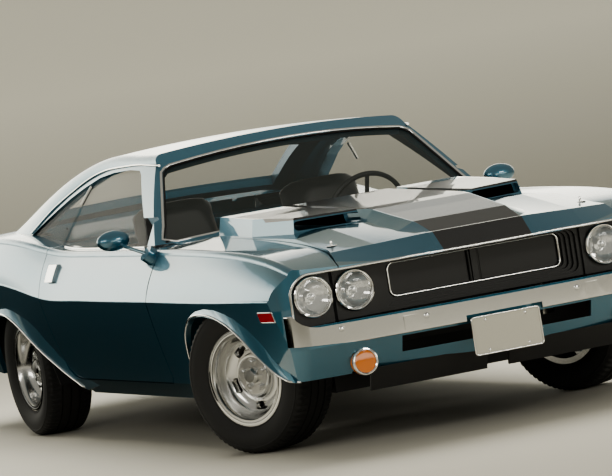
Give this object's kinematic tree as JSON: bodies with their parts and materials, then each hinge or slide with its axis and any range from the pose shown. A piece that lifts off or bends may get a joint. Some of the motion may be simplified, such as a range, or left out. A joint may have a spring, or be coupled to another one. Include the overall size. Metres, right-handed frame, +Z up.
{
  "type": "two-door muscle car",
  "caption": "Two-door hardtop muscle car with a steel body shell, opening doors, hood and trunk lid, steered front wheels, bench and bucket seats, and a recessed grille with round lamps.",
  "frame": {"origin": "on the floor, under the middle of the car's bounding box", "axes": "-Y towards the front of the car, +X towards its left side (the driver's), +Z up"},
  "size_m": [2.0516, 4.859, 1.3156],
  "materials": {
    "paint": "gloss teal blue paint",
    "underbody": "black",
    "window_glass": "clear, slightly green",
    "lamp_glass": "clear lamp glass over a silvered bowl",
    "amber_lens": "ribbed amber",
    "red_lens": "ribbed red",
    "chrome": "polished",
    "black_plastic": "satin black",
    "dark_plastic": "grained black",
    "plate": "blank pale enamel",
    "upholstery": "black vinyl",
    "iron": "dark",
    "dull_steel": "dull",
    "wheel_silver": "bright silver",
    "tyre": "black rubber"
  },
  "bodies": {
    "body": {"body_shell": "paint", "floor_pan": "underbody", "front_structure": "underbody", "fender_left": "paint", "fender_right": "paint", "quarter_glass": "window_glass", "windshield": "window_glass", "rear_window": "window_glass", "front_valance": "paint", "chin_spoilers": "black_plastic", "grille": "black_plastic", "headlamps": "lamp_glass", "marker_lamps": "amber_lens", "front_bumper": "chrome", "rear_bumper": "chrome", "tail_lamps": "red_lens", "front_plate": "plate", "dashboard": "dark_plastic", "steering_column": "dark_plastic", "front_seats": "upholstery", "rear_seat": "upholstery", "console": "dark_plastic", "engine": "iron", "driveline": "iron", "exhaust": "dull_steel", "fuel_tank": "dull_steel", "rear_axle": "iron", "front_suspension": "iron"},
    "hood": {"hood": "paint"},
    "trunk_lid": {"trunk_lid": "paint"},
    "steering_wheel": {"steering_wheel": "dark_plastic"},
    "door_left": {"door_left": "paint", "door_glass_left": "window_glass", "mirror_left": "paint", "handle_left": "chrome"},
    "door_right": {"door_right": "paint", "door_glass_right": "window_glass", "mirror_right": "paint", "handle_right": "chrome"},
    "steer_left": {"knuckle_left": "iron"},
    "steer_right": {"knuckle_right": "iron"},
    "wheel_front_left": {"rim_front_left": "wheel_silver", "tyre_front_left": "tyre"},
    "wheel_front_right": {"rim_front_right": "wheel_silver", "tyre_front_right": "tyre"},
    "wheel_rear_left": {"rim_rear_left": "wheel_silver", "tyre_rear_left": "tyre"},
    "wheel_rear_right": {"rim_rear_right": "wheel_silver", "tyre_rear_right": "tyre"}
  },
  "joints": [
    {"name": "steer_left", "type": "hinge", "parent": "body", "child": "steer_left", "pos_m": [0.698, -1.4895, 0.326], "axis": [0, 0, 1], "range_deg": [-59, 7]},
    {"name": "wheel_front_left_spin", "type": "hinge", "parent": "steer_left", "child": "wheel_front_left", "pos_m": [0.75193, -1.4632, 0.326], "axis": [0.8988, 0.4384, 0], "continuous": true},
    {"name": "wheel_rear_left_spin", "type": "hinge", "parent": "body", "child": "wheel_rear_left", "pos_m": [0.771, 1.3045, 0.326], "axis": [1, 0, 0], "continuous": true},
    {"name": "door_left_swing", "type": "hinge", "parent": "body", "child": "door_left", "pos_m": [0.89, -0.8765, 0.632], "axis": [0, 0, -1], "range_deg": [0, 65]},
    {"name": "steer_right", "type": "hinge", "parent": "body", "child": "steer_right", "pos_m": [-0.698, -1.4895, 0.326], "axis": [0, 0, 1], "range_deg": [-59, 7]},
    {"name": "wheel_front_right_spin", "type": "hinge", "parent": "steer_right", "child": "wheel_front_right", "pos_m": [-0.75193, -1.5158, 0.326], "axis": [0.8988, 0.4384, 0], "continuous": true},
    {"name": "wheel_rear_right_spin", "type": "hinge", "parent": "body", "child": "wheel_rear_right", "pos_m": [-0.771, 1.3045, 0.326], "axis": [1, 0, 0], "continuous": true},
    {"name": "door_right_swing", "type": "hinge", "parent": "body", "child": "door_right", "pos_m": [-0.89, -0.8765, 0.632], "axis": [0, 0, 1], "range_deg": [0, 65]},
    {"name": "steering_wheel_turn", "type": "hinge", "parent": "body", "child": "steering_wheel", "pos_m": [0.37, -0.2445, 0.868], "axis": [0, 0.9272, 0.3746], "range_deg": [-944, 112]},
    {"name": "hood_lift", "type": "hinge", "parent": "body", "child": "hood", "pos_m": [0, -0.8395, 0.892], "axis": [-1, 0, 0], "range_deg": [0, 50]},
    {"name": "trunk_lid_lift", "type": "hinge", "parent": "body", "child": "trunk_lid", "pos_m": [0, 1.6495, 0.976], "axis": [1, 0, 0], "range_deg": [0, 45]}
  ],
  "couplings": [
    {"joint": "steer_right", "follows": "steer_left", "ratio": 1},
    {"joint": "steering_wheel_turn", "follows": "steer_left", "ratio": 16}
  ]
}
